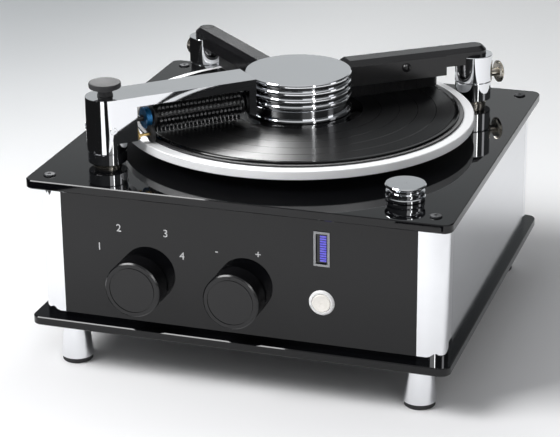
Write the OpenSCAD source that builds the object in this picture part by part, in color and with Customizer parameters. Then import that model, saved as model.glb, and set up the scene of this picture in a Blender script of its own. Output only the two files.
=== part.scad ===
// Record cleaning machine: a black plate case on cone feet with a motor driven platter,
// a record clamp and three swinging arms (roller brush, suction arm and fluid arm).
// Millimetres. Z is up, the front panel faces -Y, and the feet stand on Z = 0.

/* [Case] */
// Width of the two black plates
plate_w = 390; // [380:1:420]
// Depth of the two black plates
plate_d = 378; // [370:1:410]
// Thickness of each plate
plate_t = 8; // [6:0.5:10]
// Corner radius of the plates
plate_corner_r = 9; // [6:0.5:14]
// Polished bevel on the plate edges
plate_bevel = 0.8; // [0.4:0.1:1.2]
// Clear height between the plates
case_h = 124.2; // [118:0.1:150]
// Distance of the front and rear panels behind the plate edges
panel_inset = 10; // [8:0.5:12]
// Distance of the side panels inside the plate edges
side_inset = 7; // [5:0.5:9]
// Thickness of the front and rear panels
panel_t = 5; // [4:0.5:6]
// Thickness of the side panels
side_t = 2.5; // [1.5:0.5:4]
// Outer radius of the rounded corner profiles
post_r = 24; // [20:1:28]
// Wall of the corner profiles
post_wall = 3; // [2:0.5:4]
// Straight flange of the corner profiles along the sides
post_flange = 5; // [3:1:8]
// Radius of the corner profiles' round edge
post_round = 18; // [16:0.5:19]
// Distance of the plate screws from the plate edges
screw_inset = 18; // [17:0.5:20]
// Head radius of the plate screws
screw_head_r = 5.5; // [4:0.5:7]

/* [Feet] */
// Height of the metal cone feet
foot_h = 37.8; // [30:0.1:50]
// Lower radius of the cone feet
foot_r = 15; // [12:0.5:20]
// Upper radius of the cone feet
foot_top_r = 11; // [8:0.5:12]
// Thickness of the rubber pads
pad_h = 4.5; // [3:0.5:8]
// Distance of the foot centres from the plate sides
foot_inset_x = 32; // [28:1:50]
// Distance of the foot centres from the plate front and back
foot_inset_y = 29; // [26:1:50]

/* [Controls] */
// Radius of the two large knobs
knob_r = 25.7; // [20:0.1:28]
// Depth of the two large knobs
knob_depth = 20.7; // [15:0.1:26]
// Shaft radius behind each knob
knob_shaft_r = 3; // [2:0.5:4]
// Sideways place of the programme knob
selector_x = -90; // [-100:1:-70]
// Sideways place of the suction power knob
power_x = 2; // [-10:1:15]
// Height of both knobs under the top plate
knob_drop = 81.3; // [70:0.1:85]
// Sideways place of the display
display_x = 79; // [70:1:95]
// Height of the display centre under the top plate
display_drop = 30; // [25:1:36]
// Display frame width
display_w = 14.5; // [12:0.5:20]
// Display frame height
display_h = 32; // [26:1:36]
// Height of the start button under the top plate
start_drop = 80.2; // [70:0.1:90]
// Radius of the start button ring
start_ring_r = 11.6; // [9:0.1:14]
// Radius of the start button cap
start_cap_r = 8.3; // [6:0.1:8.6]
// Travel of the start button
start_travel = 1.5; // [1:0.1:2.5]

/* [Platter] */
// Distance of the platter axis behind the case centre
platter_shift = 5.7; // [0:0.1:10]
// Outer radius of the platter
platter_r = 164.5; // [156:0.1:168]
// Height of the platter rim
platter_t = 7.8; // [6:0.1:12]
// Clear height under the platter
platter_lift = 12.1; // [9:0.1:16]
// Radius of the mat
mat_r = 154.5; // [120:0.1:155]
// Thickness of the mat
mat_t = 1.6; // [1:0.1:3]
// Radius of the record
record_r = 150.5; // [125:0.1:151]
// Thickness of the record
record_t = 1.8; // [1.2:0.1:2.4]
// Radius of the centre spindle
spindle_r = 3.6; // [3.5:0.01:3.65]
// Radius of the bearing shaft
shaft_r = 6; // [5:0.1:8]
// Length of the bearing housing under the top plate
bearing_h = 66; // [50:1:72]
// Radius of the platter pulley
pulley_r = 40; // [30:1:50]
// Radius of the motor pulley
motor_pulley_r = 11; // [9:1:16]
// Distance from the platter axis to the motor axis
motor_offset = 95; // [92:1:110]

/* [Clamp] */
// Radius of the record clamp
clamp_r = 50; // [40:0.5:51]
// Height of the record clamp
clamp_h = 37.5; // [32:0.5:45]
// Number of rings turned on the clamp
clamp_rings = 4; // [2:1:5]
// Distance from ring to ring
clamp_pitch = 6.9; // [6:0.1:7]
// Height of each groove
clamp_groove = 1.7; // [1:0.1:3]

/* [Arm hubs] */
// Radius of the arm hubs
hub_r = 18.15; // [17:0.05:20]
// Radius of the lifting collars under the hubs
collar_r = 17.7; // [16:0.1:20]
// Radius of the post shafts
post_shaft_r = 6; // [5:0.1:7]
// Radius of the post foot rings
post_foot_r = 12.7; // [11:0.1:15]
// Radial running clearance of shafts
run_gap = 0.05; // [0.02:0.01:0.1]
// Gap between pieces that move on each other
seat_gap = 0.3; // [0.2:0.05:0.5]
// Travel of each arm when it is lifted
arm_lift = 8; // [5:1:12]

/* [Roller brush arm] */
// Sideways place of the brush arm hub
brush_x = -137.5; // [-145:0.5:-130]
// Distance of the brush arm hub in front of the platter axis
brush_out = 136.3; // [130:0.1:142]
// Turn of the arm away from the platter axis
brush_toe = -1.4; // [-4:0.1:4]
// Height of the arm top above the plate
brush_top = 65.4; // [62:0.1:75]
// Height of the seam between collar and hub
brush_seam = 15.5; // [13:0.1:18]
// Height of the collar's lower end
brush_foot = 4.2; // [3:0.1:6]
// Gap between the arm end and the clamp
brush_tip_gap = 3.7; // [2.5:0.1:8]
// Thickness of the bar over the roller
bar_t = 8.9; // [6:0.1:9]
// Length of the solid block beside the hub
block_len = 23; // [21:0.5:24]
// Height of the block's underside above the plate
block_foot = 24.5; // [20:0.1:26]
// Thickness of the bearing bracket at the arm end
bracket_t = 6.9; // [4:0.1:8]
// Height of the bracket's lower end
bracket_foot = 33; // [30:0.1:34]
// Tip radius of the roller bristles
roller_tip_r = 15.3; // [13:0.1:16]
// Radius of the roller core
roller_core_r = 8; // [6:0.1:9]
// Radius of the roller shaft
roller_shaft_r = 2.5; // [2:0.1:3]
// Radius of the drive ring on the roller
ring_r = 9.9; // [9:0.1:11]
// Width of the drive ring
ring_w = 5.5; // [4:0.5:6]
// Radius of the idler wheel
idler_r = 7.9; // [7:0.1:9]
// Radius of the lock knob on the hub
lock_r = 14.5; // [11:0.5:18]
// Height of the lock knob
lock_h = 12.6; // [9:0.1:16]

/* [Rear arms] */
// Sideways place of the rear arm hubs
rear_x = 137.5; // [130:0.5:145]
// Distance of the rear arm hubs behind the platter axis
rear_out = 130; // [124:0.1:138]
// Height of the rear hubs from seam to top
rear_hub_h = 26; // [24:0.5:30]
// Height of the collars under the rear hubs
rear_collar_h = 18.5; // [14:0.5:22]
// Height of the suction arm's seam above the plate
vacuum_seam = 20; // [19.5:0.1:23]
// Height of the fluid arm's seam above the plate
fluid_seam = 24.6; // [24:0.1:26]
// Turn of the suction arm away from the platter axis
vacuum_toe = -0.9; // [-4:0.1:4]
// Turn of the fluid arm away from the platter axis
fluid_toe = -5.7; // [-9:0.1:0]
// Width of the rear arms
arm_w = 23.5; // [20:0.5:26]
// Height of the rear arms
arm_h = 16; // [14:0.5:18]
// Bevel along the upper edges of the rear arms
arm_bevel = 4.2; // [3:0.1:5]
// Gap between the rear arms and the clamp
arm_tip_gap = 2.9; // [2:0.1:8]
// Height of the arm above its hub
arm_proud = 9; // [6:0.5:12]
// Radius of the thumbscrew discs
thumb_r = 10.6; // [8:0.1:12]
// Height of the thumbscrews above the plate
thumb_h = 29.3; // [29:0.1:31]
// Distance from the start of the pads to the hub axis
pad_start = 40; // [36:1:50]
// Gap between pads or bristles and the record
brush_gap = 0.3; // [0.2:0.05:0.5]

/* [Filler] */
// Sideways place of the filler cap
filler_x = 141.3; // [135:0.1:146]
// Distance of the filler cap behind the plate front
filler_back = 52.8; // [48:0.1:58]
// Radius of the filler cap
filler_r = 18; // [16:0.5:20]
// Height of the filler cap
filler_h = 14.2; // [11:0.1:18]
// Radius of the filler opening
filler_bore_r = 13.2; // [10:0.1:14]

/* [Hidden] */
$fn = 96;

// Levels and main places
eps = 0.01;
knob_proud = knob_depth + seat_gap - panel_inset;
front_y = knob_proud - (plate_d + knob_proud) / 2;
rear_y = front_y + plate_d;
floor_z = pad_h + foot_h;
case_z = floor_z + plate_t;
under_z = case_z + case_h;
top_z = under_z + plate_t;
rim_top = platter_lift + platter_t;
mat_top = rim_top + mat_t;
record_top = mat_top + record_t;
panel_y = front_y + panel_inset;
side_x = plate_w / 2 - side_inset;
post_cx = side_x - post_r;
post_cy = panel_y + post_r;
panel_half = post_cx - seat_gap;
mid_y = (front_y + rear_y) / 2;
platter_y = mid_y + platter_shift;
screw_x = plate_w / 2 - screw_inset;
screw_y = plate_d / 2 - screw_inset;
screw_shank_r = 2;
screw_hole_r = screw_shank_r + 0.1;
post_boss = 3;

// Small fixed sizes of the turned and moulded pieces
knob_face_groove = 0.6;
knob_edge = 1.2;
knob_bush_r = knob_shaft_r + 2;
display_frame = 2;
display_proud = 0.8;
start_proud = 2.4;
spindle_tip = record_top + 12;
shaft_foot = -(plate_t + bearing_h + 18);
pulley_h = 10;
bearing_flange = 6;
idler_w = 3.4;
idler_axle_r = 1.5;
idler_rim_gap = 0.25;
lever_t = 1.5;
lever_w = 7;
lever_s = block_len + 1.2;
ring_s = 35.5;
roller_start = 43;
roller_end_gap = 1;
strand_w = 1;
roller_rows = 12;
roller_row_strands = 18;
sleeve_t = 0.8;
cheek_t = 2;
cheek_r = 10;
set_screw_r = 3.3;
thumb_t = 4;
thumb_s = 26.7;
thumb_neck_r = 4;
thumb_shank_r = 2.5;
plug_r = 6.7;
plug_t = 0.8;
arm_side_gap = 0.3;
hub_edge = 0.5;
nozzle_w = 14;
nozzle_slot = 2;
felt_w = 3;
felt_h = 2.4;
plate_side_t = 3;
plate_side_h = 19;
bristle_back = 6;
bristle_w = 12;
bristle_rows = 2;
bristle_count = 46;

// Drive and inner pieces
dial_first = 45;
motor_r = 30;
motor_shaft_r = 3;
pulley_z = top_z + shaft_foot + 2;
motor_body_h = pulley_z - case_z - 8;
waste_w = 108;
waste_d = 84;
waste_h = case_h - 48.2;
waste_x = -95;
waste_y = rear_y - 78;
turbine_x = 92;
turbine_y = rear_y - 97;
turbine_r = 48;
turbine_h = case_h - 40.2;
turbine_fan_h = 24;
hose_r = 8;
hose_bend = 16;
fluid_tank_w = 58;
fluid_tank_d = 72;
pump_x = 66;
pump_y = front_y + 80;
pump_w = 36;
pump_d = 40;
pump_h = 30;
winding_x = -108;
winding_y = platter_y - 94.7;
winding_r = 26;
winding_tube_r = 18;
board_x = -10;
board_y = front_y + 62;
board_w = 100;
board_h = case_h - 28.2;
board_t = 1.6;

// Rear panel
inlet_x = 110;
inlet_drop = 88;
inlet_w = 28;
inlet_h = 20;
inlet_slot_w = 22;
inlet_slot_h = 14;
inlet_depth = 18;
rocker_drop = 62;
rocker_w = 20;
rocker_h = 14;
rocker_sink = 4;
rocker_axis = 3.5;
drain_x = -110;
drain_drop = 104;
drain_r = 5;
vent_count = 9;
vent_pitch = 9;
vent_w = 3;
vent_h = 44;
vent_x = -24;
vent_drop = 60;

// Brush arm places, seen from its hub with s along the arm
brush_y = platter_y - brush_out;
brush_len = norm([brush_x, brush_out]) - clamp_r - brush_tip_gap;
roller_z = record_top + roller_tip_r + brush_gap;
roller_end = brush_len - bracket_t - roller_end_gap;
idler_z = rim_top + idler_r + idler_rim_gap;
idler_reach = ring_r + idler_r + idler_rim_gap;
idler_off = -sqrt(pow(idler_reach, 2) - pow(roller_z - idler_z, 2));
rear_hub_y = platter_y + rear_out;
arm_len = norm([rear_x, rear_out]) - clamp_r - arm_tip_gap;
brush_angle = atan2(platter_y - brush_y, -brush_x) + brush_toe;
vacuum_angle = atan2(platter_y - rear_hub_y, rear_x) + vacuum_toe;
fluid_angle = atan2(platter_y - rear_hub_y, -rear_x) + fluid_toe;

// Moves the children to a hub on the top plate and turns them along its arm
module at_hub(x, y, angle) {
    translate([x, y, top_z]) rotate([0, 0, angle]) children();
}

module at_brush() { at_hub(brush_x, brush_y, brush_angle) children(); }
module at_vacuum() { at_hub(-rear_x, rear_hub_y, vacuum_angle) children(); }
module at_fluid() { at_hub(rear_x, rear_hub_y, fluid_angle) children(); }
module at_platter() { translate([0, platter_y, top_z]) children(); }

// Turns a child's Z axis to point out of the front panel
module on_panel(x, drop) {
    translate([x, panel_y, under_z - drop]) rotate([90, 0, 0]) children();
}

// Turns a child's Z axis to point out of the rear panel
module on_rear(x, drop) {
    translate([x, rear_y - panel_inset, under_z - drop]) rotate([90, 0, 180]) children();
}

// Copies the children to the four corners of a rectangle
module four(x, y) {
    for (sx = [-1, 1], sy = [-1, 1]) translate([sx * x, mid_y + sy * y, 0]) children();
}

// Cylinder with a bevel of size c at each end
module bevelled_rod(r, h, c) {
    rotate_extrude() polygon([[0, 0], [r - c, 0], [r, c], [r, h - c], [r - c, h], [0, h]]);
}

// Bar along X with its four long edges bevelled
module bevelled_bar(l, w, t, c) {
    translate([-l / 2, 0, 0]) rotate([90, 0, 90]) linear_extrude(l) polygon([
        [-w / 2 + c, 0], [w / 2 - c, 0], [w / 2, c], [w / 2, t - c],
        [w / 2 - c, t], [-w / 2 + c, t], [-w / 2, t - c], [-w / 2, c]]);
}

// Plate with round corners and a bevel all round, centred on the case
module edged_plate() {
    translate([0, mid_y, 0]) {
        bevelled_bar(plate_w - 2 * plate_corner_r, plate_d, plate_t, plate_bevel);
        rotate([0, 0, 90])
            bevelled_bar(plate_d - 2 * plate_corner_r, plate_w, plate_t, plate_bevel);
        for (sx = [-1, 1], sy = [-1, 1])
            translate([sx * (plate_w / 2 - plate_corner_r), sy * (plate_d / 2 - plate_corner_r), 0])
                bevelled_rod(plate_corner_r, plate_t, plate_bevel);
    }
}

module top_plate() color("#101113") difference() {
    translate([0, 0, under_z]) edged_plate();
    translate([0, platter_y, under_z - 1]) cylinder(r = shaft_r + 3, h = plate_t + 2);
    translate([filler_x, front_y + filler_back, under_z - 1])
        cylinder(r = filler_bore_r + 2.5, h = plate_t + 2);
    for (p = [[brush_x, brush_y], [-rear_x, rear_hub_y], [rear_x, rear_hub_y]])
        translate([p[0], p[1], under_z - 1]) cylinder(r = post_shaft_r + 0.1, h = plate_t + 2);
    four(screw_x, screw_y) translate([0, 0, under_z - 1]) cylinder(r = screw_hole_r, h = plate_t + 2);
}

module bottom_plate() color("#101113") difference() {
    translate([0, 0, floor_z]) edged_plate();
    four(screw_x, screw_y) translate([0, 0, floor_z - 1]) cylinder(r = screw_hole_r, h = plate_t + 2);
    four(plate_w / 2 - foot_inset_x, plate_d / 2 - foot_inset_y)
        translate([0, 0, floor_z - 1]) cylinder(r = 4.1, h = plate_t + 2);
}

module front_panel() color("#0e0f11") difference() {
    translate([-panel_half, panel_y, case_z]) cube([2 * panel_half, panel_t, case_h]);
    for (x = [selector_x, power_x])
        on_panel(x, knob_drop) translate([0, 0, -panel_t - 1]) cylinder(r = knob_bush_r, h = panel_t + 2);
    on_panel(display_x, display_drop) translate([0, 0, -panel_t / 2])
        cube([display_w - 2 * display_frame, display_h - 2 * display_frame, panel_t + 2], center = true);
    on_panel(display_x, start_drop) translate([0, 0, -panel_t - 1])
        cylinder(r = start_cap_r + 1, h = panel_t + 2);
}

module rear_panel() color("#0e0f11") difference() {
    translate([-panel_half, rear_y - panel_inset - panel_t, case_z])
        cube([2 * panel_half, panel_t, case_h]);
    on_rear(inlet_x, inlet_drop) cube([inlet_w - 2, inlet_h - 2, 3 * panel_t], center = true);
    on_rear(inlet_x, rocker_drop) cube([rocker_w + 2, rocker_h + 2, 3 * panel_t], center = true);
    on_rear(drain_x, drain_drop) cylinder(r = drain_r + 0.1, h = 3 * panel_t, center = true);
    for (i = [0:vent_count - 1]) on_rear(vent_x + i * vent_pitch, vent_drop) {
        cube([vent_w, vent_h, 3 * panel_t], center = true);
        for (s = [-1, 1]) translate([0, s * vent_h / 2, 0])
            cylinder(d = vent_w, h = 3 * panel_t, center = true);
    }
}

module side_panels() color("#c9cbce")
    for (s = [-1, 1]) translate([s * (side_x - side_t / 2), mid_y, case_z + case_h / 2])
        cube([side_t, plate_d - 2 * (panel_inset + post_r + post_flange + seat_gap), case_h], center = true);

// Half of a corner profile in plan: a quarter ring, a side flange and a screw boss
module post_outline(inset, over) {
    flat = post_r - post_round;
    translate([-over, -post_flange - over]) square([post_r - inset + over, post_flange + flat + over]);
    translate([-over, -over]) square([flat + over, post_r - inset + over]);
    translate([flat, flat]) intersection() {
        circle(r = post_round - inset);
        square([post_round, post_round]);
    }
}

module post_plan() {
    screw_at = [screw_x - post_cx, screw_y - (plate_d / 2 - panel_inset - post_r)];
    difference() {
        post_outline(0, 0);
        difference() {
            post_outline(post_wall, 1);
            translate(screw_at) circle(r = screw_hole_r + post_boss);
        }
        translate(screw_at) circle(r = screw_hole_r);
    }
}

module corner_posts() color("#d8dadd")
    for (mx = [0, 1], my = [0, 1]) translate([0, mid_y, case_z]) mirror([mx, 0, 0]) mirror([0, my, 0])
        translate([post_cx, plate_d / 2 - panel_inset - post_r, 0]) linear_extrude(case_h) post_plan();

module plate_screws() color("#3a3b3d") four(screw_x, screw_y) {
    translate([0, 0, top_z]) rotate_extrude() polygon([
        [0, 0], [screw_head_r, 0], [screw_head_r, 0.7], [screw_head_r - 0.8, 1.4], [1.5, 1.6],
        [1.5, 0.6], [0, 0.6]]);
    translate([0, 0, under_z - 12]) cylinder(r = screw_shank_r, h = plate_t + 12);
}

module feet() color("#c4c7ca") four(plate_w / 2 - foot_inset_x, plate_d / 2 - foot_inset_y)
    translate([0, 0, pad_h]) {
        rotate_extrude() polygon([[0, 0], [foot_r - 0.6, 0], [foot_r, 0.6], [foot_r, 2.2],
            [foot_top_r, foot_h - 2], [foot_top_r, foot_h], [0, foot_h]]);
        cylinder(r = 4, h = foot_h + plate_t);
    }

module foot_pads() color("#17181a") four(plate_w / 2 - foot_inset_x, plate_d / 2 - foot_inset_y)
    rotate_extrude() polygon([[0, 0], [foot_r - 1.8, 0], [foot_r - 1, 0.8], [foot_r - 1, pad_h], [0, pad_h]]);

// Bearing tube with its flange under the top plate
module bearing_housing() color("#8a8d90") at_platter() difference() {
    translate([0, 0, -plate_t - bearing_h]) {
        bevelled_rod(shaft_r + 8, bearing_h, 1);
        translate([0, 0, bearing_h - bearing_flange]) cylinder(r = shaft_r + 28, h = bearing_flange);
    }
    translate([0, 0, -plate_t - bearing_h - 1]) cylinder(r = shaft_r + run_gap, h = bearing_h + 2);
    for (a = [0:90:270]) rotate([0, 0, a]) translate([shaft_r + 20, 0, -plate_t - bearing_flange - 1])
        cylinder(r = 2.2, h = bearing_flange + 2);
}

module drive_motor() color("#55585c") translate([-motor_offset, platter_y, case_z]) rotate_extrude()
    polygon([[0, 0], [motor_r - 1.5, 0], [motor_r, 1.5], [motor_r, motor_body_h - 7.5],
        [motor_r - 1.5, motor_body_h - 6], [motor_r - 6, motor_body_h - 6], [motor_r - 6, motor_body_h],
        [motor_shaft_r, motor_body_h], [motor_shaft_r, pulley_z + pulley_h + 2 - case_z],
        [0, pulley_z + pulley_h + 2 - case_z]]);

// Outline of a pulley's flanges and belt seat, from its lower end at height z
function pulley_edge(r, z) = [[r + 2, z], [r + 2, z + 1.2], [r, z + 1.6], [r, z + pulley_h - 1.6],
    [r + 2, z + pulley_h - 1.2], [r + 2, z + pulley_h]];

module motor_pulley() color("#a9abad") translate([-motor_offset, platter_y, pulley_z]) rotate_extrude()
    polygon(concat([[motor_shaft_r + run_gap, 0]], pulley_edge(motor_pulley_r, 0),
        [[motor_shaft_r + run_gap, pulley_h]]));

module belt_plan(extra) {
    hull() {
        circle(r = pulley_r + extra);
        translate([-motor_offset, 0]) circle(r = motor_pulley_r + extra);
    }
}

module drive_belt() color("#1b1b1c") translate([0, platter_y, pulley_z + 2]) linear_extrude(pulley_h - 4)
    difference() {
        belt_plan(1.5);
        belt_plan(0.3);
    }

// Bearing shaft with the platter pulley at its foot and the spindle at its tip
module platter_shaft() color("#b9bbbe") at_platter() rotate_extrude() polygon(concat(
    [[0, shaft_foot], [shaft_r, shaft_foot], [shaft_r, shaft_foot + 2]],
    pulley_edge(pulley_r, shaft_foot + 2),
    [[shaft_r, shaft_foot + 2 + pulley_h], [shaft_r, platter_lift], [spindle_r, platter_lift],
        [spindle_r, spindle_tip - 3], [1.6, spindle_tip], [0, spindle_tip]]));

// Turned disc with a hub boss under it and a bevelled rim
module platter() color("#dfe1e3") at_platter() rotate_extrude() polygon([
    [shaft_r + run_gap, 3], [28, 3], [30, 5], [30, platter_lift], [platter_r + 0.2, platter_lift],
    [platter_r + 0.4, platter_lift + 0.5], [platter_r, rim_top - 0.6], [platter_r - 0.6, rim_top],
    [spindle_r + run_gap, rim_top], [spindle_r + run_gap, platter_lift + 0.3],
    [shaft_r + run_gap, platter_lift + 0.3]]);

module platter_mat() color("#1c1c1e") at_platter() translate([0, 0, rim_top]) difference() {
    bevelled_rod(mat_r, mat_t, 0.3);
    translate([0, 0, -1]) cylinder(r = spindle_r + 0.4, h = mat_t + 2);
}

// Record with a raised edge bead and a raised label area
module record() color("#0b0b0c") at_platter() translate([0, 0, mat_top]) rotate_extrude() polygon([
    [spindle_r + run_gap, 0], [record_r - 0.6, 0], [record_r, 0.6], [record_r, record_t - 0.7],
    [record_r - 0.7, record_t], [record_r - 3.5, record_t], [record_r - 5, record_t - 0.35],
    [58, record_t - 0.35], [53, record_t], [spindle_r + run_gap, record_t]]);

// Clamp body: round rings with grooves between them, over a smooth waist
clamp_base_h = 3.3;
ring_bulge = 1.1;
ring_steps = 6;
groove_depth = 2.2;

module clamp_body() color("#cfd2d5") at_platter() translate([0, 0, record_top + clamp_base_h]) {
    h = clamp_h - clamp_base_h;
    ring_h = clamp_pitch - clamp_groove;
    rotate_extrude() polygon(concat(
        [[spindle_r + run_gap, 0], [clamp_r - 3, 0], [clamp_r - 3, h - clamp_rings * clamp_pitch + clamp_groove]],
        [for (i = [clamp_rings:-1:1]) each concat(
            [for (t = [0:ring_steps]) [clamp_r - ring_bulge * (1 - sqrt(1 - pow(2 * t / ring_steps - 1, 2))),
                h - i * clamp_pitch + clamp_groove + ring_h * t / ring_steps]],
            i == 1 ? [] : [[clamp_r - groove_depth, h - (i - 1) * clamp_pitch],
                [clamp_r - groove_depth, h - (i - 1) * clamp_pitch + clamp_groove]])],
        [[0, h], [0, spindle_tip - record_top], [spindle_r + run_gap, spindle_tip - record_top]]));
}

module clamp_base() color("#b8bbbf") at_platter() translate([0, 0, record_top]) rotate_extrude() polygon([
    [spindle_r + run_gap, 0], [clamp_r - 0.8, 0], [clamp_r, 0.8], [clamp_r, clamp_base_h - 0.9],
    [clamp_r - 0.9, clamp_base_h], [spindle_r + run_gap, clamp_base_h]]);

// Fixed post: a threaded end under the plate, a foot ring and a polished shaft
module post(foot_h_above, shaft_top) {
    translate([0, 0, -plate_t - 14]) cylinder(r = post_shaft_r, h = plate_t + 14 + shaft_top);
    rotate_extrude() polygon([[0, 0], [post_foot_r, 0], [post_foot_r, foot_h_above * 0.4],
        [post_foot_r - 0.8, foot_h_above * 0.5], [post_foot_r - 0.8, foot_h_above], [0, foot_h_above]]);
    translate([0, 0, -plate_t - 6]) cylinder(r = 11, h = 6, $fn = 6);
}

module arm_posts() color("#9fa2a5") {
    at_brush() post(brush_foot - seat_gap, brush_top - bar_t - 2);
    at_vacuum() post(vacuum_seam - rear_collar_h - seat_gap, vacuum_seam + rear_hub_h - 9);
    at_fluid() post(fluid_seam - rear_collar_h - seat_gap, fluid_seam + rear_hub_h - 9);
}

// Collar that carries a hub and slides on the post
module collar(foot, seam) {
    difference() {
        translate([0, 0, foot]) bevelled_rod(collar_r, seam - foot - seat_gap, 0.6);
        translate([0, 0, foot - 1]) cylinder(r = post_shaft_r + run_gap, h = seam - foot + 2);
    }
}

module brush_collar() color("#cdd0d3") at_brush() collar(brush_foot, brush_seam);
module vacuum_collar() color("#cdd0d3") at_vacuum() collar(vacuum_seam - rear_collar_h, vacuum_seam);
module fluid_collar() color("#cdd0d3") at_fluid() collar(fluid_seam - rear_collar_h, fluid_seam);

// One solid milled from bar: hub, block, bar over the roller and end bracket
module brush_arm() color("#d3d6d9") at_brush() difference() {
    union() {
        translate([0, 0, brush_seam]) cylinder(r = hub_r, h = brush_top - brush_seam);
        translate([0, -hub_r, 0]) {
            translate([0, 0, block_foot]) cube([block_len, 2 * hub_r, brush_top - block_foot]);
            translate([0, 0, brush_top - bar_t]) cube([brush_len, 2 * hub_r, bar_t]);
            translate([brush_len - bracket_t, 0, bracket_foot])
                cube([bracket_t, 2 * hub_r, brush_top - bracket_foot]);
        }
    }
    translate([0, 0, brush_seam - 1]) cylinder(r = post_shaft_r + run_gap, h = brush_top - bar_t - brush_seam);
    translate([0, 0, brush_top - bar_t - 2]) cylinder(r = 3 + run_gap, h = bar_t + 3);
    for (s = [block_len - 8, brush_len - bracket_t - 1]) translate([s, 0, roller_z]) rotate([0, 90, 0])
        cylinder(r = roller_shaft_r + run_gap, h = 12);
    for (p = set_screw_places) translate([0, 0, p[1]]) rotate([0, 90, p[0]])
        translate([0, 0, post_shaft_r - 1]) cylinder(r = 2.1, h = hub_r);
}

// Set screws in the hub: bearing round the hub and height above the plate
set_screw_places = [[-90, 37], [150, 37]];

module brush_set_screws() color("#8d8f92") at_brush() for (p = set_screw_places)
    translate([0, 0, p[1]]) rotate([0, 90, p[0]]) {
        difference() {
            translate([0, 0, hub_r]) bevelled_rod(set_screw_r, 0.8, 0.2);
            translate([0, 0, hub_r + 0.3]) cylinder(r = 1.4, h = 2, $fn = 6);
        }
        translate([0, 0, post_shaft_r + seat_gap]) cylinder(r = 2, h = hub_r - post_shaft_r);
    }

// Shaft and core of the roller brush with a cheek at each end
module roller_core() color("#1a1a1b") at_brush() translate([0, 0, roller_z]) rotate([0, 90, 0]) {
    translate([0, 0, block_len - 7]) cylinder(r = roller_shaft_r, h = brush_len - 1 - block_len + 7);
    translate([0, 0, roller_start]) cylinder(r = roller_core_r, h = roller_end - roller_start);
    for (s = [roller_start, roller_end - cheek_t]) translate([0, 0, s]) bevelled_rod(cheek_r, cheek_t, 0.4);
}

// Tufts in staggered rows that run round the sleeve in a slow helix
module roller_bristles() color("#242426") at_brush() translate([0, 0, roller_z]) rotate([0, 90, 0]) {
    first = roller_start + cheek_t + seat_gap;
    span = roller_end - cheek_t - seat_gap - first;
    sleeve_r = roller_core_r + run_gap + sleeve_t;
    translate([0, 0, first]) difference() {
        cylinder(r = sleeve_r, h = span, $fn = 12);
        translate([0, 0, -1]) cylinder(r = roller_core_r + run_gap, h = span + 2);
    }
    for (k = [0:roller_rows - 1], i = [0:roller_row_strands - 1])
        rotate([0, 0, (k + 0.5) * 360 / roller_rows])
            translate([sleeve_r * cos(15) - 0.4, -strand_w / 2,
                first + (i + 0.3 + 0.4 * (k % 2)) * span / roller_row_strands])
                cube([roller_tip_r - sleeve_r * cos(15) + 0.4 - 0.05, strand_w, strand_w]);
}

module drive_ring() color("#1f6fa3") at_brush() translate([ring_s, 0, roller_z]) rotate([0, 90, 0])
    difference() {
        bevelled_rod(ring_r, ring_w, 0.5);
        translate([0, 0, -1]) cylinder(r = roller_shaft_r + run_gap, h = ring_w + 2);
        translate([0, 0, ring_w - 1]) cylinder(r = ring_r - 2.5, h = 2);
    }

// Brass lever that hangs on the roller shaft and carries the idler axle
module idler_lever() color("#b98d3e") at_brush() translate([lever_s, 0, roller_z]) rotate([0, 90, 0]) {
    difference() {
        union() {
            cylinder(r = lever_w / 2 + 1, h = lever_t);
            rotate([0, 0, atan2(idler_off, roller_z - idler_z)])
                translate([0, -lever_w / 2, 0]) cube([idler_reach, lever_w, lever_t]);
            translate([roller_z - idler_z, idler_off, 0]) cylinder(r = lever_w / 2 + 0.3, h = lever_t);
        }
        translate([0, 0, -1]) cylinder(r = roller_shaft_r + run_gap, h = lever_t + 2);
    }
    translate([roller_z - idler_z, idler_off, 0]) cylinder(r = idler_axle_r, h = ring_s + idler_w - lever_s + 1);
}

module idler_wheel() color("#2a2a2b") at_brush() translate([ring_s + 0.1, idler_off, idler_z])
    rotate([0, 90, 0]) difference() {
        bevelled_rod(idler_r, idler_w, 0.6);
        translate([0, 0, -1]) cylinder(r = idler_axle_r + run_gap, h = idler_w + 2);
        translate([0, 0, idler_w - 0.8]) cylinder(r = idler_r - 2, h = 2);
    }

module lock_knob() color("#1d1e20") at_brush() translate([0, 0, brush_top + seat_gap]) {
    rotate_extrude() polygon([[0, 0], [7.1, 0], [7.1, 1], [6.6, 2], [6.6, lock_h - 5.5],
        [8.5, lock_h - 3.2], [lock_r - 1, lock_h - 3], [lock_r, lock_h - 2], [lock_r, lock_h - 1],
        [lock_r - 1, lock_h], [lock_r - 3, lock_h], [5, lock_h - 0.8], [0, lock_h - 0.9]]);
    translate([0, 0, -8]) cylinder(r = 3, h = 8);
}

// Hub with a blind slot that takes the tail of an arm
module slotted_hub(seam) {
    slot_w = arm_w + 2 * arm_side_gap;
    slot_floor = seam + rear_hub_h + arm_proud - arm_h;
    difference() {
        translate([0, 0, seam]) bevelled_rod(hub_r, rear_hub_h, hub_edge);
        translate([0, 0, seam - 1]) cylinder(r = post_shaft_r + run_gap, h = rear_hub_h - 8);
        translate([0, -slot_w / 2, slot_floor]) cube([2 * hub_r, slot_w, arm_h]);
        translate([0, 0, slot_floor]) cylinder(d = slot_w, h = arm_h);
        translate([0, 0, thumb_h]) rotate([0, -90, 0]) cylinder(r = thumb_shank_r + run_gap, h = hub_r + 1);
    }
}

module vacuum_hub() color("#d3d6d9") at_vacuum() slotted_hub(vacuum_seam);
module fluid_hub() color("#d3d6d9") at_fluid() slotted_hub(fluid_seam);

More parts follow.
